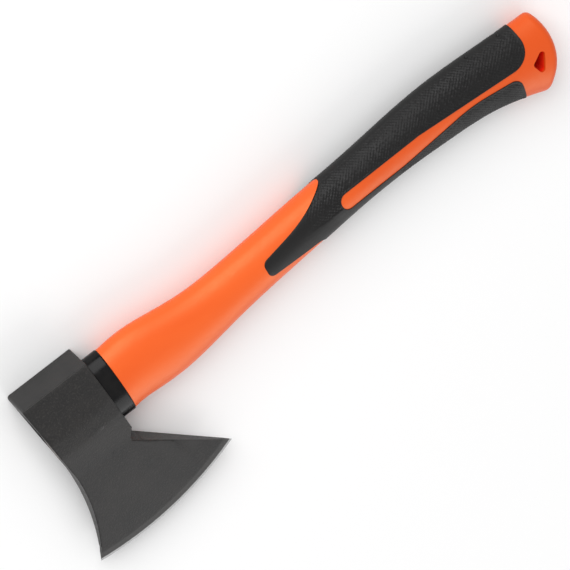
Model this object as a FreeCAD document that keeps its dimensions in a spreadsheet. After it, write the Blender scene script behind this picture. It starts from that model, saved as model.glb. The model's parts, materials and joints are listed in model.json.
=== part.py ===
import FreeCAD, Part

import os

import Sketcher
from FreeCAD import Vector

# A one-hand axe lying on its side, in millimetres. X runs along the handle from the head to the
# knob, Y from the cutting edge to the poll, and Z through the thickness. Every piece is drawn
# about the eye's axis, with X = 0 on the side of the head that faces the handle. The bodies'
# placement then carries it all to the frame of the whole axe, whose origin is the middle of the
# axe's outline on the surface that it lies on.

SIZES = {
    # The eye's axis, seen from the origin of the whole axe.
    "frame_x": -141.1,
    "frame_y": 32.0,
    # The head's block, seen from the side: the poll behind the eye, and the lug before it.
    "head_thickness": 27.0,
    "poll_length": 46.5,
    "poll_height": 28.0,
    "lug_x": 1.6,
    "lug_y": -26.6,
    # The blade: its waist on the top side, the cutting arc from toe to heel, and the notch.
    "waist_x": -42.0,
    "waist_y": -32.0,
    "toe_x": -57.6,
    "heel_x": 47.7,
    "notch_x": -3.4,
    "notch_y": -33.5,
    "edge_radius": 211.7,
    "edge_centre_x": -26.7,
    "edge_centre_y": 117.2,
    # How the cheeks thin out towards the edge: distance from the edge, and half thickness there.
    # What is ground off runs a little past the edge, and half way round the edge's centre.
    "shoulder_reach": 91.0,
    "crown_reach": 80.0,
    "crown_half": 12.6,
    "bulge_reach": 61.0,
    "bulge_half": 9.3,
    "bevel_reach": 5.5,
    "bevel_half": 1.4,
    "edge_half": 0.12,
    "grind_past": 4.0,
    "groove_turn": 180.0,
    # Rounded edges of the forging.
    "poll_corner_round": 2.0,
    "poll_edge_round": 0.9,
    "notch_round": 1.5,
    # The eye, an oval that widens away from the handle so that its filling can't pull out.
    "eye_height_low": 36.0,
    "eye_width_low": 15.6,
    "eye_height_high": 39.0,
    "eye_width_high": 18.4,
    "eye_depth": 43.4,
    "eye_past_low": 1.0,
    "eye_past_high": 2.0,
    # The glass fibre rod through the handle, which leans a little to stay inside the curve.
    "core_height": 21.0,
    "core_width": 10.5,
    "core_length": 330.0,
    "core_tip_x": -42.9,
    "core_tip_y": -0.2,
    "core_lean": 1.6,
    # The moulded ring between the head and the handle.
    "collar_length": 10.8,
    "collar_middle": 0.4,
    "collar_height": 45.9,
    "collar_width": 25.6,
    "collar_gap": 0.3,
    "collar_edge": 0.7,
    # The knob's end: seen from the side, an arc between two angles and a straight run to the
    # belly. It bulges a little too, because it is turned about an upright axis.
    "dome_radius": 38.0,
    "dome_centre_x": 301.9,
    "dome_centre_y": 10.6,
    "dome_turn_up": 32.0,
    "dome_turn_low": 38.0,
    "dome_run": 38.0,
    "dome_axis_x": 300.0,
    "dome_round": 4.5,
    # The grip's rubber: how far it stands out of the handle, and how deep it goes in.
    "grip_stand": 0.5,
    "grip_depth": 1.8,
    "cut_through": 60.0,
}

# Two points this near are the same, and a rim's edge is longer than the short seams beside it.
SAME_PLACE = 0.01
SHORTEST_RIM = 1.0

# The handle's oval sections: distance from the head, middle, half height and half thickness.
SECTIONS = [
    (11, 0.4, 22.4, 12.2),
    (30, 0.9, 22.9, 12.4),
    (50, -0.6, 21.8, 12.3),
    (70, -0.8, 19.3, 12.0),
    (95, 1.1, 17.3, 12.0),
    (125, 3.7, 16.6, 12.3),
    (160, 6.5, 16.4, 12.6),
    (195, 8.9, 16.0, 12.7),
    (225, 10.5, 17.3, 12.7),
    (255, 10.8, 19.1, 12.7),
    (285, 9.0, 20.3, 12.7),
    (305, 5.8, 22.4, 12.7),
    (322, 2.2, 25.3, 12.8),
    (346, -0.4, 28.0, 12.9),
]

# The rubber's outline, seen from the side: corner name, X, Y and rounding. It starts above the
# handle's back, runs round the side tongue and the belly, and returns round the long window.
GRIP_CORNERS = [
    ("back_start", 176.6, 48.0, 0.0),
    ("back_front", 176.6, 24.2, 3.0),
    ("tongue_rise", 151.0, 13.6, 120.0),
    ("tongue_top", 118.7, 7.6, 4.5),
    ("tongue_low", 118.7, -3.6, 4.0),
    ("belly_front", 162.0, -6.2, 9.0),
    ("belly_start", 162.0, -48.0, 0.0),
    ("belly_end", 306.8, -48.0, 0.0),
    ("belly_panel_end", 308.8, 1.4, 6.5),
    ("window_neck", 275.0, 6.1, 90.0),
    ("window_floor", 222.0, 0.9, 0.0),
    ("window_low", 177.3, 0.6, 5.2),
    ("window_top", 177.3, 11.5, 5.2),
    ("window_roof", 238.0, 12.4, 0.0),
    ("back_panel_end", 322.6, 5.6, 13.5),
    ("back_end", 320.8, 48.0, 0.0),
]

# The hang hole through the knob: a triangle with rounded corners.
HOLE_CORNERS = [
    ("hole_outer", 332.4, 9.9, 2.0),
    ("hole_inner", 319.4, 2.2, 2.0),
    ("hole_low", 322.9, -8.8, 2.0),
]


def all_sizes():
    """Every driving dimension, by the name of its cell."""
    sizes = dict(SIZES)
    for number, section in enumerate(SECTIONS, start=1):
        for part, value in zip(("at", "middle", "high", "wide"), section):
            sizes[f"section_{number}_{part}"] = value
    for name, across, up, rounding in GRIP_CORNERS + HOLE_CORNERS:
        sizes[f"{name}_x"] = across
        sizes[f"{name}_y"] = up
        sizes[f"{name}_round"] = rounding
    return sizes


def fill_sheet(doc):
    """Write the driving dimensions into a spreadsheet with one named cell each."""
    sheet = doc.addObject("Spreadsheet::Sheet", "Sizes")
    for row, (name, value) in enumerate(all_sizes().items(), start=1):
        sheet.set(f"A{row}", name)
        sheet.set(f"B{row}", str(value))
        sheet.setAlias(f"B{row}", name)
    doc.recompute()


# Bodies and sketches


def new_body(doc, name):
    """An empty body that stands where the whole axe's frame wants it."""
    body = doc.addObject("PartDesign::Body", name)
    body.Label = name
    body.setExpression("Placement.Base.x", "Sizes.frame_x")
    body.setExpression("Placement.Base.y", "Sizes.frame_y")
    body.setExpression("Placement.Base.z", "Sizes.head_thickness / 2")
    return body


def new_sketch(body, name, plane, distance=None):
    """A sketch on one of the body's own origin planes, or at a distance from it."""
    sketch = body.newObject("Sketcher::SketchObject", name)
    support = next(item for item in body.Origin.OriginFeatures if item.Role == plane)
    sketch.AttachmentSupport = [(support, "")]
    sketch.MapMode = "FlatFace"
    if distance:
        sketch.setExpression("AttachmentOffset.Base.z", distance)
    return sketch


def amount(sketch, expression):
    """What an expression of the spreadsheet's cells comes to now."""
    return float(sketch.evalExpression(expression))


def bind(sketch, expression, kind, *place):
    """Add a sketch dimension that follows an expression."""
    constraint = Sketcher.Constraint(kind, *place, amount(sketch, expression))
    index = sketch.addConstraint(constraint)
    sketch.setExpression(f"Constraints[{index}]", expression)


def pin(sketch, geometry, end, across, up):
    """Hold one point of a sketch at its two distances from the sketch's origin."""
    bind(sketch, across, "DistanceX", -1, 1, geometry, end)
    bind(sketch, up, "DistanceY", -1, 1, geometry, end)


def join(sketch, first, first_end, second, second_end):
    """Make two ends meet."""
    sketch.addConstraint(Sketcher.Constraint("Coincident", first, first_end, second, second_end))


def corner_cells(name):
    """The two cells that hold a named corner."""
    return f"Sizes.{name}_x", f"Sizes.{name}_y"


def add_line(sketch, start, end):
    """A line between two points given as pairs of expressions."""
    ends = [Vector(amount(sketch, across), amount(sketch, up), 0) for across, up in (start, end)]
    return sketch.addGeometry(Part.LineSegment(*ends), False)


def add_arc(sketch, centre, start, end):
    """An arc that runs anticlockwise about a centre, all given as pairs of expressions."""
    points = [Vector(amount(sketch, x), amount(sketch, y), 0) for x, y in (centre, start, end)]
    reach = [point - points[0] for point in points[1:]]
    angles = [Vector(1, 0, 0).getAngle(arm) * (1 if arm.y > 0 else -1) for arm in reach]
    circle = Part.Circle(points[0], Vector(0, 0, 1), reach[0].Length)
    return sketch.addGeometry(Part.ArcOfCircle(circle, *angles), False)


def add_polygon(sketch, corners):
    """A closed outline of straight lines through pairs of expressions."""
    first = sketch.GeometryCount
    count = len(corners)
    for number, corner in enumerate(corners):
        add_line(sketch, corner, corners[(number + 1) % count])
    for number, corner in enumerate(corners):
        join(sketch, first + number, 2, first + (number + 1) % count, 1)
        pin(sketch, first + number, 1, *corner)


def add_oval(sketch, middle, high, wide):
    """An ellipse that stands upright on Y, with its centre on the sketch's level line."""
    shape = Part.Ellipse(Vector(0, 0, 0), amount(sketch, high), amount(sketch, wide))
    shape.Center = Vector(amount(sketch, middle), 0, 0)
    oval = sketch.addGeometry(shape, False)
    sketch.exposeInternalGeometry(oval)
    long_axis = oval + 1
    short_axis = oval + 2
    pin(sketch, oval, 3, middle, "0")
    sketch.addConstraint(Sketcher.Constraint("Horizontal", long_axis))
    bind(sketch, f"2 * ({high})", "Distance", long_axis)
    bind(sketch, f"2 * ({wide})", "Distance", short_axis)


# Features


def add_pad(body, name, sketch, length, both_ways=False):
    """Raise a sketch to a length, upwards or the same distance both ways."""
    pad = body.newObject("PartDesign::Pad", name)
    pad.Profile = sketch
    pad.SideType = "Symmetric" if both_ways else "One side"
    pad.setExpression("Length", length)
    body.Document.recompute()
    return pad


def add_pocket(body, name, sketch):
    """Cut a sketch right through the body both ways, and make sure that it did cut."""
    before = body.Shape.Volume
    pocket = body.newObject("PartDesign::Pocket", name)
    pocket.Profile = sketch
    pocket.SideType = "Symmetric"
    pocket.setExpression("Length", "Sizes.cut_through")
    body.Document.recompute()
    if body.Shape.Volume >= before:
        raise RuntimeError(f"{name} cut nothing")


def add_groove(body, name, sketch):
    """Sweep a sketch a quarter turn each way about its own construction line."""
    before = body.Shape.Volume
    groove = body.newObject("PartDesign::Groove", name)
    groove.Profile = sketch
    groove.ReferenceAxis = (sketch, ["Axis0"])
    groove.Midplane = True
    groove.setExpression("Angle", "Sizes.groove_turn")
    body.Document.recompute()
    if body.Shape.Volume >= before:
        raise RuntimeError(f"{name} cut nothing")


def add_loft(body, name, sketches, kind="PartDesign::AdditiveLoft"):
    """A smooth loft through sketches in their order."""
    loft = body.newObject(kind, name)
    loft.Profile = sketches[0]
    loft.Sections = sketches[1:]
    body.Document.recompute()
    return loft


def round_edges(body, name, radius, chosen):
    """Round the edges of the body's last feature that a test chooses."""
    feature = body.Tip
    edges = [f"Edge{n}" for n, edge in enumerate(feature.Shape.Edges, start=1) if chosen(edge)]
    if not edges:
        raise RuntimeError(f"{name} has no edges to round")
    fillet = body.newObject("PartDesign::Fillet", name)
    fillet.Base = (feature, edges)
    fillet.setExpression("Radius", radius)
    body.Document.recompute()


def upright_at(across, up):
    """A test for the straight edge along Z that stands on one point."""
    def chosen(edge):
        start, end = edge.Vertexes[0].Point, edge.Vertexes[-1].Point
        flat = abs(start.x - end.x) + abs(start.y - end.y)
        off = abs(start.x - across) + abs(start.y - up)
        return max(flat, off) < SAME_PLACE
    return chosen


def round_corners(body, sketch, corners):
    """Round the upright edges at named corners, each by its own cell."""
    for name, _, _, rounding in corners:
        if rounding > 0:
            across, up = (amount(sketch, cell) for cell in corner_cells(name))
            round_edges(body, f"{name}_fillet", f"Sizes.{name}_round", upright_at(across, up))


# The axe head


def edge_point(reach, half):
    """A point of the cheek's profile: a distance in from the cutting edge, and a height."""
    return f"Sizes.edge_centre_y - Sizes.edge_radius + ({reach})", half


def on_edge_arc(name):
    """The point of the cutting arc at a named distance along the axe."""
    across = f"Sizes.{name}_x"
    drop = f"sqrt(Sizes.edge_radius ^ 2 - ({across} - Sizes.edge_centre_x) ^ 2)"
    return across, f"Sizes.edge_centre_y - {drop}"


def draw_head_outline(sketch):
    """The head from the side: poll, concave top side, cutting arc, bearded heel and lug."""
    poll_low = ("0", "Sizes.poll_height")
    poll_high = ("-Sizes.poll_length", "Sizes.poll_height")
    waist, notch, lug = (corner_cells(name) for name in ("waist", "notch", "lug"))
    toe, heel = on_edge_arc("toe"), on_edge_arc("heel")
    edge_centre = corner_cells("edge_centre")
    # The hollow leaves the waist straight down, so its centre is level with the waist.
    back = f"({waist[0]} - {toe[0]})"
    hollow_radius = f"({back} ^ 2 + ({waist[1]} - ({toe[1]})) ^ 2) / 2 / {back}"
    hollow_centre = (f"{waist[0]} - {hollow_radius}", waist[1])
    add_line(sketch, poll_low, poll_high)
    add_line(sketch, poll_high, waist)
    add_arc(sketch, hollow_centre, toe, waist)
    add_arc(sketch, edge_centre, toe, heel)
    add_line(sketch, heel, notch)
    add_line(sketch, notch, lug)
    add_line(sketch, lug, poll_low)
    for first, first_end, second, second_end in (
        (0, 2, 1, 1), (1, 2, 2, 2), (2, 1, 3, 1), (3, 2, 4, 1), (4, 2, 5, 1), (5, 2, 6, 1), (6, 2, 0, 1),
    ):
        join(sketch, first, first_end, second, second_end)
    for geometry, end, point in (
        (0, 1, poll_low), (1, 1, poll_high), (2, 2, waist), (3, 3, edge_centre), (5, 1, notch), (6, 1, lug),
    ):
        pin(sketch, geometry, end, *point)
    bind(sketch, hollow_centre[0], "DistanceX", -1, 1, 2, 3)
    bind(sketch, "Sizes.edge_radius", "Radius", 3)
    bind(sketch, toe[0], "DistanceX", -1, 1, 3, 1)
    bind(sketch, heel[0], "DistanceX", -1, 1, 4, 1)


def draw_cheek_cut(sketch):
    """What is ground off both cheeks, drawn beside the cutting arc's upright axis."""
    for side in ("", "-"):
        corners = [
            edge_point("-Sizes.grind_past", f"{side}Sizes.edge_half"),
            edge_point("0", f"{side}Sizes.edge_half"),
            edge_point("Sizes.bevel_reach", f"{side}Sizes.bevel_half"),
            edge_point("Sizes.bulge_reach", f"{side}Sizes.bulge_half"),
            edge_point("Sizes.crown_reach", f"{side}Sizes.crown_half"),
            edge_point("Sizes.shoulder_reach", f"{side}Sizes.head_thickness / 2"),
            edge_point("Sizes.shoulder_reach", f"{side}Sizes.head_thickness"),
            edge_point("-Sizes.grind_past", f"{side}Sizes.head_thickness"),
        ]
        add_polygon(sketch, corners)
    top = sketch.GeometryCount
    axis_ends = [("Sizes.edge_centre_y", "0"), ("Sizes.edge_centre_y", "Sizes.head_thickness")]
    add_line(sketch, *axis_ends)
    sketch.setConstruction(top, True)
    pin(sketch, top, 1, *axis_ends[0])
    pin(sketch, top, 2, *axis_ends[1])


def on_poll_face(height):
    """A test for the edges round the poll's flat back."""
    def chosen(edge):
        return edge.BoundBox.YMin > height - SAME_PLACE
    return chosen


def make_eye_sketches(body, first, last):
    """The eye's two ovals, narrow by the handle and wide at the far side."""
    low = new_sketch(body, "eye_low", "YZ_Plane", first)
    add_oval(low, "0", "Sizes.eye_height_low / 2", "Sizes.eye_width_low / 2")
    high = new_sketch(body, "eye_high", "YZ_Plane", last)
    add_oval(high, "0", "Sizes.eye_height_high / 2", "Sizes.eye_width_high / 2")
    return [low, high]


def make_axe_head(doc):
    """The forged head: a block with an oval eye, thinned to a blade with a ground bevel."""
    body = new_body(doc, "axe_head")
    outline = new_sketch(body, "head_outline", "XY_Plane")
    draw_head_outline(outline)
    add_pad(body, "head_block", outline, "Sizes.head_thickness", both_ways=True)
    notch = [amount(outline, cell) for cell in corner_cells("notch")]
    round_edges(body, "notch_fillet", "Sizes.notch_round", upright_at(*notch))
    poll_height = amount(outline, "Sizes.poll_height")
    poll_corner = upright_at(amount(outline, "-Sizes.poll_length"), poll_height)
    round_edges(body, "poll_corner_fillet", "Sizes.poll_corner_round", poll_corner)
    round_edges(body, "poll_edge_fillet", "Sizes.poll_edge_round", on_poll_face(poll_height))
    cheeks = new_sketch(body, "cheek_profile", "YZ_Plane", "Sizes.edge_centre_x")
    draw_cheek_cut(cheeks)
    add_groove(body, "cheek_groove", cheeks)
    eye = make_eye_sketches(body, "Sizes.eye_past_low", "-Sizes.poll_length - Sizes.eye_past_high")
    add_loft(body, "eye", eye, "PartDesign::SubtractiveLoft")
    return body


# What fills the eye, and the collar


def make_handle_core(doc):
    """The straight glass fibre rod that runs from the top of the eye to the knob."""
    body = new_body(doc, "handle_core")
    body.setExpression("Placement.Base.x", "Sizes.frame_x + Sizes.core_tip_x")
    body.setExpression("Placement.Base.y", "Sizes.frame_y + Sizes.core_tip_y")
    body.setExpression("Placement.Rotation.Angle", "Sizes.core_lean * 1 deg")
    section = new_sketch(body, "core_section", "YZ_Plane")
    add_oval(section, "0", "Sizes.core_height / 2", "Sizes.core_width / 2")
    add_pad(body, "core_rod", section, "Sizes.core_length")
    return body


def cut_away(doc, name, base, tool):
    """What is left of one object when another is taken out of it."""
    cut = doc.addObject("Part::Cut", name)
    cut.Label = name
    cut.Base = base
    cut.Tool = tool
    doc.recompute()
    return cut


def make_eye_resin(doc, core):
    """The cast resin that fills the eye round the rod."""
    filling = new_body(doc, "eye_filling")
    add_loft(filling, "filling", make_eye_sketches(filling, "0", "-Sizes.eye_depth"))
    return cut_away(doc, "eye_resin", filling, core)


def is_flat_ring(edge):
    """Whether an edge is a closed loop square to the handle's length."""
    return len(edge.Vertexes) == 1 and edge.BoundBox.XLength < SAME_PLACE


def make_collar(doc, core):
    """The moulded ring between the head and the handle, with its two rims broken."""
    ring = new_body(doc, "collar_ring")
    section = new_sketch(ring, "collar_section", "YZ_Plane", "Sizes.collar_gap")
    add_oval(section, "Sizes.collar_middle", "Sizes.collar_height / 2", "Sizes.collar_width / 2")
    add_pad(ring, "collar_block", section, "Sizes.collar_length - Sizes.collar_gap")
    round_edges(ring, "collar_rims", "Sizes.collar_edge", is_flat_ring)
    return cut_away(doc, "collar", ring, core)


# The handle and its grip


def loft_handle(body, grow):
    """The handle's outer form through its oval sections, made larger or smaller all round."""
    sketches = []
    for number in range(1, len(SECTIONS) + 1):
        cell = f"Sizes.section_{number}"
        sketch = new_sketch(body, f"section_{number}", "YZ_Plane", f"{cell}_at")
        add_oval(sketch, f"{cell}_middle", f"{cell}_high + {grow}", f"{cell}_wide + {grow}")
        sketches.append(sketch)
    add_loft(body, "outer_form", sketches)


def cut_dome(body):
    """Trim the handle's end to a dome: its side outline, turned about an upright axis."""
    sketch = new_sketch(body, "dome_outline", "XY_Plane")
    centre = corner_cells("dome_centre")
    radius = "Sizes.dome_radius"
    up, low = "Sizes.dome_turn_up * 1 deg", "Sizes.dome_turn_low * 1 deg"
    upper = (f"{centre[0]} + {radius} * cos({up})", f"{centre[1]} + {radius} * sin({up})")
    lower = (f"{centre[0]} + {radius} * cos({low})", f"{centre[1]} - {radius} * sin({low})")
    below = (f"{lower[0]} - Sizes.dome_run * sin({low})", f"{lower[1]} - Sizes.dome_run * cos({low})")
    past_end = f"Sizes.section_{len(SECTIONS)}_at + Sizes.dome_run"
    far_upper = (past_end, upper[1])
    far_below = (past_end, below[1])
    add_arc(sketch, centre, lower, upper)
    corners = [upper, far_upper, far_below, below, lower]
    for number, (start, end) in enumerate(zip(corners, corners[1:]), start=1):
        add_line(sketch, start, end)
        join(sketch, number - 1, 2, number, 1)
        pin(sketch, number, 1, *start)
    join(sketch, 4, 2, 0, 1)
    pin(sketch, 0, 1, *lower)
    bind(sketch, centre[0], "DistanceX", -1, 1, 0, 3)
    turning_axis = [("Sizes.dome_axis_x", "0"), ("Sizes.dome_axis_x", "Sizes.dome_run")]
    add_line(sketch, *turning_axis)
    sketch.setConstruction(5, True)
    pin(sketch, 5, 1, *turning_axis[0])
    pin(sketch, 5, 2, *turning_axis[1])
    add_groove(body, "dome_cut", sketch)


def on_knob_rim(dome_centre):
    """A test for the edges that run round the dome."""
    def chosen(edge):
        return edge.BoundBox.XMax > dome_centre and edge.BoundBox.XLength > SHORTEST_RIM
    return chosen


def make_handle_form(doc):
    """The whole handle without its rubber recess: oval sections, domed knob and hang hole."""
    body = new_body(doc, "handle_form")
    loft_handle(body, "0")
    cut_dome(body)
    round_edges(body, "knob_rim", "Sizes.dome_round", on_knob_rim(amount(body, "Sizes.dome_centre_x")))
    sketch = new_sketch(body, "hang_hole_outline", "XY_Plane")
    add_polygon(sketch, [corner_cells(name) for name, *_ in HOLE_CORNERS])
    add_pocket(body, "hang_hole", sketch)
    round_corners(body, sketch, HOLE_CORNERS)
    return body


def make_grip_space(doc, inner):
    """All the room that the rubber may take: its outline from the side, down to its bed."""
    body = new_body(doc, "grip_outline_block")
    sketch = new_sketch(body, "grip_outline", "XY_Plane")
    add_polygon(sketch, [corner_cells(name) for name, *_ in GRIP_CORNERS])
    add_pad(body, "grip_block", sketch, "Sizes.cut_through", both_ways=True)
    round_corners(body, sketch, GRIP_CORNERS)
    return cut_away(doc, "grip_space", body, inner)


def make_grip(doc, space):
    """The rubber moulded over the handle, standing a little proud of it."""
    outer = new_body(doc, "grip_outer_form")
    loft_handle(outer, "Sizes.grip_stand")
    grip = doc.addObject("Part::Common", "grip")
    grip.Label = "grip"
    grip.Base = outer
    grip.Tool = space
    doc.recompute()
    return grip


def make_handle(doc, core):
    """The moulded handle, recessed for its grip and hollow for the rod, and the grip itself."""
    form = make_handle_form(doc)
    bed = new_body(doc, "grip_bed_form")
    loft_handle(bed, "-Sizes.grip_depth")
    space = make_grip_space(doc, bed)
    grip = make_grip(doc, space)
    recessed = cut_away(doc, "handle_recessed", form, space)
    return cut_away(doc, "handle_shell", recessed, core), grip


def check_document(doc, pieces):
    """Stop if a feature failed or a piece isn't a sound solid."""
    for item in doc.Objects:
        if "Invalid" in item.State or "Error" in item.State:
            raise RuntimeError(f"{item.Name} failed: {item.State}")
    for piece in pieces:
        if piece.Shape.isNull() or not piece.Shape.isValid():
            raise RuntimeError(f"{piece.Label} has no valid shape")


def main():
    doc = FreeCAD.newDocument("hand_axe")
    fill_sheet(doc)
    head = make_axe_head(doc)
    core = make_handle_core(doc)
    resin = make_eye_resin(doc, core)
    collar = make_collar(doc, core)
    shell, grip = make_handle(doc, core)
    pieces = [head, core, resin, collar, shell, grip]
    check_document(doc, pieces)
    os.makedirs("parts", exist_ok=True)
    for piece in pieces:
        piece.Shape.exportStep(f"parts/{piece.Label}.step")
        solids = len(piece.Shape.Solids)
        print(f"{piece.Label}: {solids} solid, {piece.Shape.Volume / 1000:.2f} cm3")


main()
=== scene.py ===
import json
import math

import bmesh
import bpy
from mathutils import Matrix, Vector
from mathutils.bvhtree import BVHTree
from mathutils.kdtree import KDTree


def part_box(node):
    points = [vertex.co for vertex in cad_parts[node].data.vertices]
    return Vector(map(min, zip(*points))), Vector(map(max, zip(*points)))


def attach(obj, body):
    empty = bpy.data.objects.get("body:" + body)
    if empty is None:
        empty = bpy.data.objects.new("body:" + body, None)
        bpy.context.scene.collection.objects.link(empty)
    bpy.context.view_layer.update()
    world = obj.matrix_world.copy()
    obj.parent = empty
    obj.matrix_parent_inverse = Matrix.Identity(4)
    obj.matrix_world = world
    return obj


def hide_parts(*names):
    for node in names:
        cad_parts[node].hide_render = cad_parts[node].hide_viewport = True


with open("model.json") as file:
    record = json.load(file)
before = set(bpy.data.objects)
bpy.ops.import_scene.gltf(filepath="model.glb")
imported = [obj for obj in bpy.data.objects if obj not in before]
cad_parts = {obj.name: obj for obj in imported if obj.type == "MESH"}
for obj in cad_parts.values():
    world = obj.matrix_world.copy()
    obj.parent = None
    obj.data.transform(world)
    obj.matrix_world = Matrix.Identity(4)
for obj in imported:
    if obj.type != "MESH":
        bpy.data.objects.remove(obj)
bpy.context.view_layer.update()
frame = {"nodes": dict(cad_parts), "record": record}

MM = 0.001

# The camera: a long lens, seen from a little to the head's side and above the poll's side.
VIEW_ACROSS = math.radians(-8.0)
VIEW_UP = math.radians(30.0)
VIEW_ROLL = math.radians(37.75)
CAMERA_DISTANCE = 2.5
CAMERA_TARGET = Vector((-0.0159, 0.0123, 0.0135))
SENSOR_WIDTH = 36.0
FOCAL_LENGTH = 267.5

# Where things are on the axe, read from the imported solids.
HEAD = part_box("axe_head")
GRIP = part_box("grip")
MIDDLE_Z = (HEAD[0][2] + HEAD[1][2]) / 2

# The cutting edge is an arc about this point, so a place's distance to the edge is known.
EDGE_RADIUS = 211.7 * MM
EDGE_CENTRE = (HEAD[0][0] + 30.9 * MM, HEAD[0][1] + EDGE_RADIUS)
BARE_REACH = 1.3 * MM
BEVEL_REACH = 5.5 * MM

# The hanging hole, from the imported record.
HOLE = next(mount["pos_m"] for mount in frame["record"]["mounts"]
            if mount["name"] == "hang_hole")
HOLE_REACH = 10.0 * MM


def linear(red, green, blue):
    """A colour given as a screen shows it, as the shader wants it."""
    def channel(value):
        share = value / 255
        return share / 12.92 if share <= 0.04045 else ((share + 0.055) / 1.055) ** 2.4
    return channel(red), channel(green), channel(blue), 1.0


class Nodes:
    """A small helper to write a material's node tree from top to bottom."""

    def __init__(self, name):
        self.material = bpy.data.materials.new(name)
        self.material.use_nodes = True
        self.tree = self.material.node_tree
        self.tree.nodes.clear()
        self.output = self.tree.nodes.new("ShaderNodeOutputMaterial")
        self.shader = self.tree.nodes.new("ShaderNodeBsdfPrincipled")
        self.link(self.shader.outputs[0], self.output.inputs["Surface"])
        self.place = self.tree.nodes.new("ShaderNodeTexCoord").outputs["Object"]

    def link(self, start, end):
        self.tree.links.new(start, end)

    def put(self, socket, value):
        """Set a socket to a number or link another socket to it."""
        if isinstance(value, bpy.types.NodeSocket):
            self.link(value, socket)
        else:
            socket.default_value = value

    def math(self, operation, first, second=0.0):
        node = self.tree.nodes.new("ShaderNodeMath")
        node.operation = operation
        self.put(node.inputs[0], first)
        self.put(node.inputs[1], second)
        return node.outputs[0]

    def noise(self, scale, detail, roughness=0.55, vector=None):
        node = self.tree.nodes.new("ShaderNodeTexNoise")
        node.inputs["Scale"].default_value = scale
        node.inputs["Detail"].default_value = detail
        node.inputs["Roughness"].default_value = roughness
        self.link(vector or self.place, node.inputs["Vector"])
        return node.outputs["Fac"]

    def stretch(self, scale):
        """The object's own coordinates, stretched."""
        node = self.tree.nodes.new("ShaderNodeMapping")
        node.inputs["Scale"].default_value = scale
        self.link(self.place, node.inputs["Vector"])
        return node.outputs[0]

    def span(self, value, low, high, to_low=0.0, to_high=1.0):
        """A smooth change from one number to another while a value crosses a range."""
        node = self.tree.nodes.new("ShaderNodeMapRange")
        node.interpolation_type = "SMOOTHSTEP"
        self.put(node.inputs["Value"], value)
        node.inputs["From Min"].default_value = low
        node.inputs["From Max"].default_value = high
        node.inputs["To Min"].default_value = to_low
        node.inputs["To Max"].default_value = to_high
        return node.outputs["Result"]

    def mix(self, share, first, second):
        """A colour that runs from the first to the second as the share grows."""
        node = self.tree.nodes.new("ShaderNodeMix")
        node.data_type = "RGBA"
        self.put(node.inputs[0], share)
        self.put(node.inputs[6], first)
        self.put(node.inputs[7], second)
        return node.outputs[2]

    def between(self, share, first, second):
        """A number that runs from the first to the second as the share grows."""
        node = self.tree.nodes.new("ShaderNodeMix")
        self.put(node.inputs[0], share)
        self.put(node.inputs[2], first)
        self.put(node.inputs[3], second)
        return node.outputs[0]

    def axes(self):
        """The object's own three coordinates."""
        node = self.tree.nodes.new("ShaderNodeSeparateXYZ")
        self.link(self.place, node.inputs[0])
        return node.outputs[0], node.outputs[1], node.outputs[2]

    def distance_from(self, point):
        """How far a place is from an upright line through a point."""
        across, along, _ = self.axes()
        out_x = self.math("SUBTRACT", across, point[0])
        out_y = self.math("SUBTRACT", along, point[1])
        squares = self.math("ADD", self.math("MULTIPLY", out_x, out_x),
                            self.math("MULTIPLY", out_y, out_y))
        return self.math("SQRT", squares)

    def distance_from_middle(self):
        """How far a place is above or below the plane where the two mould halves met."""
        _, _, up = self.axes()
        return self.math("ABSOLUTE", self.math("SUBTRACT", up, MIDDLE_Z))

    def parting_line(self):
        """The fine raised line round the middle, where the two mould halves met."""
        return self.span(self.distance_from_middle(), *PARTING_FADE, 1.0, 0.0)

    def bump(self, height, distance, strength=1.0, under=None):
        """Relief of a given depth in metres, on top of the relief under it."""
        node = self.tree.nodes.new("ShaderNodeBump")
        node.inputs["Strength"].default_value = strength
        node.inputs["Distance"].default_value = distance
        self.link(height, node.inputs["Height"])
        if under is not None:
            self.link(under, node.inputs["Normal"])
        return node.outputs["Normal"]

    def finish(self, **sockets):
        """Set the shader's sockets, named with underscores, and give the material."""
        for name, value in sockets.items():
            self.put(self.shader.inputs[name.replace("_", " ")], value)
        return self.material


# Materials. Each pair of distances is where a change starts and where it is complete.

# The handle: orange with painted shade that darkens it along X towards the knob, with a warm
# gloss.
ORANGE = linear(235, 90, 32), linear(239, 96, 37)
ORANGE_MARKS = linear(230, 89, 38)
# Painted shade: the darker orange laid on towards the knob.
ORANGE_PAINTED_SHADE = linear(224, 80, 25)
# Painted shade and red glow for the hanging hole's walls, a deeper red than the orange.
HOLE_PAINTED_RED_SHADE = linear(244, 44, 20)
# Where along X the painted shade towards the knob starts and where it is complete.
PAINTED_SHADE_SPAN = (15.0 * MM, 70.0 * MM)
WARM_GLOSS = (1.0, 0.95, 0.5, 1.0)
# How far from the middle the hole's painted shade runs before it fades out at the rim.
HOLE_PAINTED_SHADE_FADE = (10.0 * MM, 11.2 * MM)
PARTING_FADE = (0.1 * MM, 0.3 * MM)
PARTING_HEIGHT = 0.12 * MM
MOULD_GRAIN = 0.02 * MM

# The rubber: near black, with grey dust.
RUBBER = linear(9, 8, 8), linear(15, 14, 14)
RUBBER_DUST = linear(40, 38, 37)
PEBBLE_HEIGHT = 0.05 * MM

# The head: lacquer over scale, a ground bevel, and bare metal at the edge and the poll.
LACQUER = linear(23, 22, 22), linear(33, 31, 30)
SCALE_GREY = linear(56, 53, 51)
GROUND_GREY = linear(96, 94, 92)
CHIPPED_METAL = linear(150, 146, 142)
BARE_METAL = linear(134, 134, 134)
EDGE_WANDER = 0.35 * MM
BARE_FADE = 0.5 * MM
GROUND_FADE = 0.8 * MM
POLL_WEAR = (HEAD[1][1] - 6.0 * MM, HEAD[1][1] - 1.0 * MM)
SCALE_HEIGHT = 0.16 * MM
SCRATCH_HEIGHT = 0.01 * MM

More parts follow.
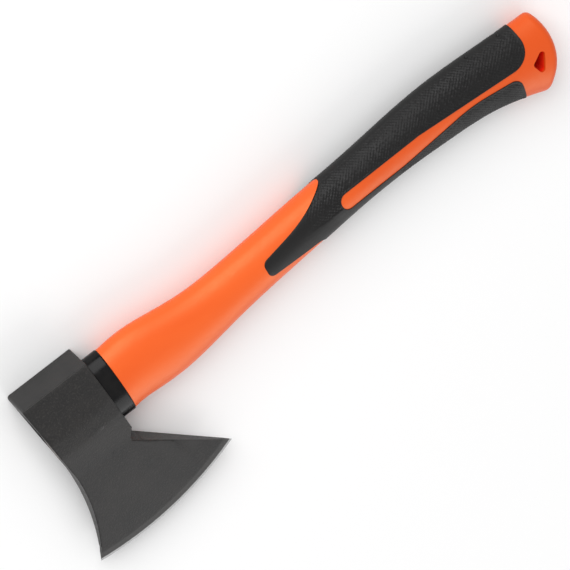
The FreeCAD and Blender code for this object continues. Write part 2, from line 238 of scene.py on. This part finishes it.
# The smaller pieces.
GLOSS = linear(14, 14, 15), linear(24, 23, 23)
FIBRE = linear(196, 178, 118), linear(226, 212, 160)
RESIN = linear(46, 34, 20), linear(70, 52, 30)
RIPPLE_HEIGHT = 0.05 * MM
FIBRE_HEIGHT = 0.1 * MM
SWIRL_HEIGHT = 0.2 * MM


def orange_plastic():
    """Satin injection-moulded plastic: a fine moulding grain, faint flow bands, handling marks,
    painted shade towards the knob and painted red shade in the hanging hole.
    """
    n = Nodes("orange_plastic")
    flow = n.noise(14.0, 2.0, 0.5, n.stretch((1.0, 3.0, 3.0)))
    grain = n.noise(5200.0, 2.0)
    marks = n.noise(210.0, 4.0, 0.7, n.stretch((1.0, 4.0, 4.0)))
    colour = n.mix(n.span(flow, 0.3, 0.7), *ORANGE)
    colour = n.mix(n.span(marks, 0.62, 0.8, 0.0, 0.25), colour, ORANGE_MARKS)
    # Painted shade: the orange darkens along X towards the knob.
    along_handle, _, _ = n.axes()
    colour = n.mix(n.span(along_handle, *PAINTED_SHADE_SPAN), colour, ORANGE_PAINTED_SHADE)
    # Painted shade and red glow on the hanging hole's walls, below its rim.
    near_hole = n.math("LESS_THAN", n.distance_from(HOLE), HOLE_REACH)
    below_rim = n.span(n.distance_from_middle(), *HOLE_PAINTED_SHADE_FADE, 1.0, 0.0)
    colour = n.mix(n.math("MULTIPLY", near_hole, below_rim), colour, HOLE_PAINTED_RED_SHADE)
    rough = n.span(marks, 0.35, 0.75, 0.36, 0.46)
    relief = n.bump(n.parting_line(), PARTING_HEIGHT, 1.0, n.bump(grain, MOULD_GRAIN, 0.6))
    return n.finish(Base_Color=colour, Roughness=rough, Specular_IOR_Level=0.5,
                    Specular_Tint=WARM_GLOSS, Normal=relief)


def black_rubber():
    """Matte moulded rubber: a fine pebble, dust in patches, a parting line."""
    n = Nodes("black_rubber")
    pebble = n.noise(2600.0, 3.0, 0.6)
    cloud = n.noise(40.0, 4.0)
    dust = n.noise(420.0, 5.0, 0.7)
    colour = n.mix(n.span(cloud, 0.35, 0.7), *RUBBER)
    colour = n.mix(n.span(dust, 0.6, 0.8, 0.0, 0.3), colour, RUBBER_DUST)
    rough = n.span(cloud, 0.3, 0.7, 0.46, 0.56)
    relief = n.bump(n.parting_line(), PARTING_HEIGHT, 1.0, n.bump(pebble, PEBBLE_HEIGHT, 0.8))
    return n.finish(Base_Color=colour, Roughness=rough, Specular_IOR_Level=0.35, Normal=relief)


def black_steel():
    """Dark lacquer over forged steel, scale under it, bare metal at the edge and at worn spots."""
    n = Nodes("black_steel")
    scale = n.noise(900.0, 5.0, 0.65)
    blotch = n.noise(55.0, 4.0, 0.6)
    ragged = n.noise(350.0, 4.0, 0.7)
    inward = n.math("SUBTRACT", EDGE_RADIUS, n.distance_from(EDGE_CENTRE))
    wander = n.math("MULTIPLY", n.math("SUBTRACT", ragged, 0.5), EDGE_WANDER)
    reach = n.math("ADD", inward, wander)
    bare = n.span(reach, BARE_REACH, BARE_REACH + BARE_FADE, 1.0, 0.0)
    ground = n.span(reach, BEVEL_REACH - GROUND_FADE, BEVEL_REACH, 1.0, 0.0)
    worn = n.span(n.noise(1500.0, 3.0, 0.7), 0.66, 0.72)
    _, towards_poll, _ = n.axes()
    near_poll = n.span(towards_poll, *POLL_WEAR)
    chipped = n.math("MULTIPLY", n.math("MULTIPLY", worn, near_poll), 0.35)
    colour = n.mix(n.span(blotch, 0.3, 0.7), *LACQUER)
    colour = n.mix(n.span(scale, 0.48, 0.72, 0.0, 0.6), colour, SCALE_GREY)
    colour = n.mix(n.math("MULTIPLY", ground, 0.12), colour, GROUND_GREY)
    colour = n.mix(chipped, colour, CHIPPED_METAL)
    colour = n.mix(bare, colour, BARE_METAL)
    rough = n.between(bare, n.span(scale, 0.3, 0.7, 0.38, 0.5), 0.38)
    metal = n.span(bare, 0.0, 1.0, 0.0, 0.9)
    scratches = n.noise(2600.0, 2.0, 0.5, n.stretch((0.12, 1.0, 1.0)))
    relief = n.bump(scratches, SCRATCH_HEIGHT, 0.4, n.bump(scale, SCALE_HEIGHT, 0.9))
    return n.finish(Base_Color=colour, Metallic=metal, Roughness=rough, Specular_IOR_Level=0.35,
                    Normal=relief)


def gloss_black():
    """Glossy black moulded plastic, faintly rippled, with smears that dull it."""
    n = Nodes("gloss_black")
    ripple = n.noise(160.0, 3.0)
    smear = n.noise(90.0, 4.0, 0.6)
    colour = n.mix(n.span(smear, 0.35, 0.7), *GLOSS)
    return n.finish(Base_Color=colour, Roughness=n.span(smear, 0.3, 0.7, 0.14, 0.24),
                    Specular_IOR_Level=0.15, Normal=n.bump(ripple, RIPPLE_HEIGHT, 0.5))


def glass_fibre():
    """The rod's cut end and sides: pale resin with long fibres."""
    n = Nodes("glass_fibre")
    fibres = n.noise(900.0, 4.0, 0.6, n.stretch((0.05, 1.0, 1.0)))
    colour = n.mix(n.span(fibres, 0.3, 0.7), *FIBRE)
    return n.finish(Base_Color=colour, Roughness=0.6, Normal=n.bump(fibres, FIBRE_HEIGHT, 0.6))


def cast_resin():
    """The dark amber casting resin in the eye, with swirls in it."""
    n = Nodes("cast_resin")
    swirl = n.noise(120.0, 4.0, 0.6)
    colour = n.mix(n.span(swirl, 0.3, 0.7), *RESIN)
    return n.finish(Base_Color=colour, Roughness=0.35, Normal=n.bump(swirl, SWIRL_HEIGHT, 0.5))


def coat(name, material):
    """Give a CAD node a finished material in place of its plain one."""
    piece = frame["nodes"][name]
    piece.data.materials.clear()
    piece.data.materials.append(material)


coat("axe_head", black_steel())
coat("handle_core", glass_fibre())
coat("eye_resin", cast_resin())
coat("collar", gloss_black())
coat("handle_shell", orange_plastic())
coat("grip", black_rubber())


# The grip: the CAD band with a moulded diamond lattice cut into its outer face

LATTICE_PITCH = 1.7 * MM
LATTICE_SLANT = math.radians(44.0)
GROOVE_DEPTH = 0.42 * MM
RIM_ROUND = 0.25 * MM
SKIN_CORNER = math.radians(25.0)
BORDER_STEP = 0.4 * MM
BORDER_CLEAR = 0.5 * MM
BORDER_FULL = 1.4 * MM
SLICE = 4.0 * MM
PANEL_START = GRIP[0][0] + 33.0 * MM
BELLY_START = GRIP[0][0] + 95.0 * MM
FADE = 8.0 * MM
BELLY_TURN = (1.6, 2.0)
SPINE_TURN = (0.2, 0.36)
PITS = (GRIP[0][0] + 170.9 * MM, GRIP[0][0] + 194.2 * MM)
PIT_FROM_SPINE = 2.6 * MM
PIT_RADIUS = 1.5 * MM
PIT_FLOOR = 0.3 * PIT_RADIUS
PIT_DEPTH = 1.1 * MM
GRIP_SHARP = math.radians(58.0)
TINY = 0.001 * MM
SLIVER = 5 * TINY


def smooth_step(value, low, high):
    """From 0 to 1 while a value crosses a range, with soft ends."""
    share = min(max((value - low) / (high - low), 0.0), 1.0)
    return share * share * (3 - 2 * share)


class Sections:
    """The handle's oval at any place along it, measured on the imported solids."""

    def __init__(self, *names):
        self.start = GRIP[0][0]
        count = math.ceil((GRIP[1][0] - self.start) / SLICE) + 1
        slices = [[] for _ in range(count)]
        for name in names:
            for vertex in frame["nodes"][name].data.vertices:
                index = round((vertex.co.x - self.start) / SLICE)
                for near in (index - 1, index, index + 1):
                    if 0 <= near < count:
                        slices[near].append(vertex.co)
        self.rows = [self.measure(points) for points in slices]

    def measure(self, points):
        """An oval's middle height, half height and half width."""
        high, low = max(p.y for p in points), min(p.y for p in points)
        wide = max(p.z for p in points) - min(p.z for p in points)
        return (high + low) / 2, (high - low) / 2, wide / 2

    def at(self, along):
        """The oval's three sizes at any place, between its two nearest slices."""
        place = min(max((along - self.start) / SLICE, 0.0), len(self.rows) - 1.001)
        index = int(place)
        share = place - index
        return [a + (b - a) * share for a, b in zip(self.rows[index], self.rows[index + 1])]

    def around(self, point):
        """The turn round the oval from its back, and the length along the skin."""
        middle, tall, wide = self.at(point.x)
        up = (point.y - middle) / tall
        out = abs(point.z - MIDDLE_Z) / wide
        turn = math.atan2(out, up)
        length = (tall + wide) / 2 * turn - (tall - wide) / 4 * math.sin(2 * turn)
        return turn, length


def groove_share(along, length):
    """How deep the lattice is at a place: 1 in the middle of a groove, 0 on a point."""
    deepest = 0.0
    for side in (1, -1):
        phase = along * math.sin(LATTICE_SLANT) + side * length * math.cos(LATTICE_SLANT)
        away = abs(phase - round(phase / LATTICE_PITCH) * LATTICE_PITCH)
        deepest = max(deepest, 1 - 2 * away / LATTICE_PITCH)
    return deepest


def lattice_share(along, turn):
    """Where the lattice is: both sides of a smooth spine, and the belly only near the knob."""
    start = PANEL_START + (BELLY_START - PANEL_START) * smooth_step(turn, *BELLY_TURN)
    return smooth_step(along, start, start + FADE) * smooth_step(turn, *SPINE_TURN)


def pit_share(along, length):
    """How deep the two small moulding pits beside the spine are at a place."""
    nearest = min(math.hypot(along - pit, length - PIT_FROM_SPINE) for pit in PITS)
    return 1 - smooth_step(nearest, PIT_FLOOR, PIT_RADIUS)


def cut_lines(bm, faces, side):
    """Cut the flattened skin along one family's grooves and the ridges between them."""
    normal = Vector((math.sin(LATTICE_SLANT), side * math.cos(LATTICE_SLANT), 0))
    waiting = {}
    for face in faces:
        add_to_bands(waiting, face, normal)
    for band in range(min(waiting), max(waiting) + 1):
        for shift in (0.0, 0.5):
            level = (band + shift) * LATTICE_PITCH
            near = [f for f in waiting.get(band, ()) if f.is_valid and spans(f, normal, level)]
            if not near:
                continue
            geometry = set(near)
            for face in near:
                geometry.update(face.verts)
                geometry.update(face.edges)
            cut = bmesh.ops.bisect_plane(bm, geom=list(geometry), dist=TINY * 0.1,
                                         plane_co=normal * level, plane_no=normal)
            for item in cut["geom"]:
                if isinstance(item, bmesh.types.BMFace):
                    faces.add(item)
                    add_to_bands(waiting, item, normal)


def add_to_bands(waiting, face, normal):
    """Note a face under every groove that may cross it."""
    places = [normal.dot(v.co) for v in face.verts]
    first = math.floor(min(places) / LATTICE_PITCH - 0.5)
    last = math.ceil(max(places) / LATTICE_PITCH)
    for band in range(first, last + 1):
        waiting.setdefault(band, set()).add(face)


def spans(face, normal, level):
    """Whether a face lies on both sides of a cutting plane."""
    places = [normal.dot(v.co) for v in face.verts]
    return min(places) + TINY < level < max(places) - TINY


def border_points(skin):
    """Points along the skin's border, closer together than the border's own width."""
    points = []
    for face in skin:
        for edge in face.edges:
            if any(other not in skin for other in edge.link_faces):
                steps = math.ceil(edge.calc_length() / BORDER_STEP)
                start, end = edge.verts[0].co, edge.verts[1].co
                points += [start.lerp(end, step / steps) for step in range(steps + 1)]
    tree = KDTree(len(points))
    for index, point in enumerate(points):
        tree.insert(point, index)
    tree.balance()
    return tree


def outer_skin(bm):
    """The faces that join the highest one without crossing a corner: the grip's outside."""
    first = max(bm.faces, key=lambda face: face.calc_center_median().y)
    skin, waiting = {first}, [first]
    while waiting:
        for edge in waiting.pop().edges:
            if edge.calc_face_angle() > SKIN_CORNER:
                continue
            for face in edge.link_faces:
                if face not in skin:
                    skin.add(face)
                    waiting.append(face)
    return skin


def round_off(bm, edges, width):
    """Round sharp edges off by a given width."""
    bmesh.ops.bevel(bm, geom=edges, offset=width, offset_type="OFFSET", segments=2,
                    profile=0.5, affect="EDGES", clamp_overlap=False)
    bm.normal_update()


def make_grip_cover():
    """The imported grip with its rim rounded, its lattice cut and its two pits sunk."""
    sections = Sections("grip", "handle_shell")
    bm = bmesh.new()
    bm.from_mesh(frame["nodes"]["grip"].data)
    bmesh.ops.remove_doubles(bm, verts=bm.verts, dist=TINY)
    bmesh.ops.bisect_plane(bm, geom=bm.verts[:] + bm.edges[:] + bm.faces[:], dist=TINY,
                           plane_co=(0, 0, MIDDLE_Z), plane_no=(0, 0, 1))
    bm.normal_update()
    skin = outer_skin(bm)
    round_off(bm, list({edge for face in skin for edge in face.edges
                        if any(other not in skin for other in edge.link_faces)}), RIM_ROUND)
    skin = outer_skin(bm)
    border = border_points(skin)

    real = bm.verts.layers.float_vector.new("real")
    outward = bm.verts.layers.float_vector.new("outward")
    for vertex in bm.verts:
        vertex[real] = vertex.co
        vertex[outward] = vertex.normal
    panel = {face for face in skin if max(v.co.x for v in face.verts) > PANEL_START}
    touched = {vertex for face in panel for vertex in face.verts}
    for vertex in touched:
        _, length = sections.around(vertex[real])
        vertex.co = (vertex[real].x, length, 0)
    for side in (1, -1):
        cut_lines(bm, panel, side)
    touched = {vertex for face in panel if face.is_valid for vertex in face.verts}
    for vertex in touched:
        place = vertex[real]
        turn, length = sections.around(place)
        away = border.find(place)[2]
        share = lattice_share(place.x, turn) * smooth_step(away, BORDER_CLEAR, BORDER_FULL)
        drop = max(GROOVE_DEPTH * groove_share(place.x, length) * share,
                   PIT_DEPTH * pit_share(place.x, length))
        vertex.co = place - vertex[outward].normalized() * drop
    bm.verts.layers.float_vector.remove(outward)
    bm.verts.layers.float_vector.remove(real)
    bmesh.ops.dissolve_degenerate(bm, dist=SLIVER, edges=bm.edges[:])
    return add_piece("grip_cover", bm, GRIP_SHARP)


def add_piece(name, bm, sharp_from):
    """Turn finished mesh data into an object, smooth but for its sharp corners."""
    mesh = bpy.data.meshes.new(name)
    bm.to_mesh(mesh)
    bm.free()
    mesh.shade_smooth()
    mesh.set_sharp_from_angle(angle=sharp_from)
    piece = bpy.data.objects.new(name, mesh)
    bpy.context.collection.objects.link(piece)
    return piece


# The head: the CAD head on a fine grid, its forged cheeks flowing into each other

FLAT = math.radians(0.6)
GRID = 1.5 * MM
HEAD_CORNER = math.radians(50.0)
HEAD_ROUND = 0.4 * MM
BLEND = 3.0 * MM
BLEND_DIRECTIONS = 8
BLEND_RINGS = (0.35, 0.7, 1.0)
GRID_SNAP = 0.02 * MM
HEAD_SHARP = math.radians(25.0)
ABOVE_ALL = 1.0


def from_edge(point):
    """How far a place is from the cutting edge."""
    return EDGE_RADIUS - math.hypot(point.x - EDGE_CENTRE[0], point.y - EDGE_CENTRE[1])


def cheek_height(tree, point):
    """How far the cheek stands off the middle plane at a place, if the head is there."""
    hit, _, _, _ = tree.ray_cast(Vector((point.x, point.y, ABOVE_ALL)), Vector((0, 0, -1)))
    return None if hit is None else hit.z - MIDDLE_Z


def blended_height(tree, point, here, reach):
    """The cheek's height averaged over matched pairs of places, so that slopes are kept."""
    total = 0.0
    for index in range(BLEND_DIRECTIONS):
        turn = math.pi * index / BLEND_DIRECTIONS
        for ring in BLEND_RINGS:
            step = Vector((math.cos(turn), math.sin(turn), 0)) * reach * ring
            pair = cheek_height(tree, point + step), cheek_height(tree, point - step)
            if None not in pair and max(abs(side - here) for side in pair) < BLEND:
                total += sum(pair) / 2 - here
    return here + total / (BLEND_DIRECTIONS * len(BLEND_RINGS))


def make_head_cover():
    """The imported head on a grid, its corners rounded and its cheeks blended."""
    bm = bmesh.new()
    bm.from_mesh(frame["nodes"]["axe_head"].data)
    bmesh.ops.remove_doubles(bm, verts=bm.verts, dist=TINY)
    bmesh.ops.dissolve_limit(bm, angle_limit=FLAT, verts=bm.verts[:], edges=bm.edges[:])
    bm.normal_update()
    corners = [e for e in bm.edges if e.calc_face_angle() > HEAD_CORNER
               and min(from_edge(v.co) for v in e.verts) > BEVEL_REACH + BLEND]
    round_off(bm, corners, HEAD_ROUND)
    tree = BVHTree.FromBMesh(bm)
    for axis in (0, 1):
        across = Vector((0, 0, 0))
        across[axis] = 1
        low, high = HEAD[0][axis], HEAD[1][axis]
        for index in range(1, math.ceil((high - low) / GRID)):
            bmesh.ops.bisect_plane(bm, geom=bm.verts[:] + bm.edges[:] + bm.faces[:],
                                   dist=GRID_SNAP, plane_co=across * (low + index * GRID),
                                   plane_no=across)
    for vertex in bm.verts:
        height = cheek_height(tree, vertex.co)
        reach = min(BLEND, from_edge(vertex.co) - BEVEL_REACH)
        side = vertex.co.z - MIDDLE_Z
        if height is None or reach <= 0 or abs(abs(side) - height) > 2 * TINY:
            continue
        blended = min(blended_height(tree, vertex.co, height, reach), HEAD[1][2] - MIDDLE_Z)
        vertex.co.z = max(MIDDLE_Z + math.copysign(blended, side), HEAD[0][2])
    bmesh.ops.dissolve_degenerate(bm, dist=SLIVER, edges=bm.edges[:])
    return add_piece("head_cover", bm, HEAD_SHARP)


def stand_in(piece, name):
    """Put a finished piece in the place of a CAD node, with that node's material."""
    piece.data.materials.append(frame["nodes"][name].data.materials[0])
    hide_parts(name)
    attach(piece, "root")


stand_in(make_grip_cover(), "grip")
stand_in(make_head_cover(), "axe_head")


# The stage, light and camera

FLOOR_SIZE = 12.0
PAPER = (0.93, 0.93, 0.93, 1.0)
WHITE = (1.0, 1.0, 1.0, 1.0)
SKY_STRENGTH = 0.6
FARTHEST_SEEN = 20.0


def make_floor():
    """A plain pale floor under the axe."""
    bpy.ops.mesh.primitive_plane_add(size=FLOOR_SIZE, location=(0, 0, 0))
    floor = bpy.context.object
    floor.name = "studio_floor"
    paper = bpy.data.materials.new("floor_paper")
    paper.use_nodes = True
    shader = paper.node_tree.nodes["Principled BSDF"]
    shader.inputs["Base Color"].default_value = PAPER
    shader.inputs["Roughness"].default_value = 0.9
    shader.inputs["Specular IOR Level"].default_value = 0.1
    floor.data.materials.append(paper)


def view_frame():
    """The camera's own three axes: right, up and back towards the camera."""
    side = math.sin(VIEW_ACROSS)
    up = math.sin(VIEW_UP)
    back = Vector((side, up, math.sqrt(1 - side * side - up * up)))
    level = (Vector((1, 0, 0)) - back * back.x).normalized()
    upright = back.cross(level)
    right = level * math.cos(VIEW_ROLL) - upright * math.sin(VIEW_ROLL)
    top = level * math.sin(VIEW_ROLL) + upright * math.cos(VIEW_ROLL)
    return right, top, back


def make_camera():
    """The camera at the photograph's angle."""
    right, top, back = view_frame()
    data = bpy.data.cameras.new("camera")
    data.sensor_width = SENSOR_WIDTH
    data.lens = FOCAL_LENGTH
    data.clip_end = FARTHEST_SEEN
    camera = bpy.data.objects.new("camera", data)
    turn = Matrix((right, top, back)).transposed().to_4x4()
    camera.matrix_world = Matrix.Translation(CAMERA_TARGET + back * CAMERA_DISTANCE) @ turn
    bpy.context.collection.objects.link(camera)
    bpy.context.scene.camera = camera


def make_light(name, place, size, power):
    """A soft square lamp that looks at the axe."""
    data = bpy.data.lights.new(name, "AREA")
    data.size = size
    data.energy = power
    lamp = bpy.data.objects.new(name, data)
    lamp.location = place
    lamp.rotation_euler = (CAMERA_TARGET - Vector(place)).to_track_quat("-Z", "Y").to_euler()
    bpy.context.collection.objects.link(lamp)


def make_world():
    """Even white light from all round."""
    world = bpy.data.worlds.new("studio")
    world.use_nodes = True
    background = world.node_tree.nodes["Background"]
    background.inputs["Color"].default_value = WHITE
    background.inputs["Strength"].default_value = SKY_STRENGTH
    bpy.context.scene.world = world


make_floor()
make_camera()
make_world()
make_light("key", (-0.3, 1.5, 1.2), 1.5, 26.0)
make_light("belly_side", (0.0, -1.6, 0.8), 1.2, 11.0)
bpy.context.scene.view_settings.view_transform = "Standard"
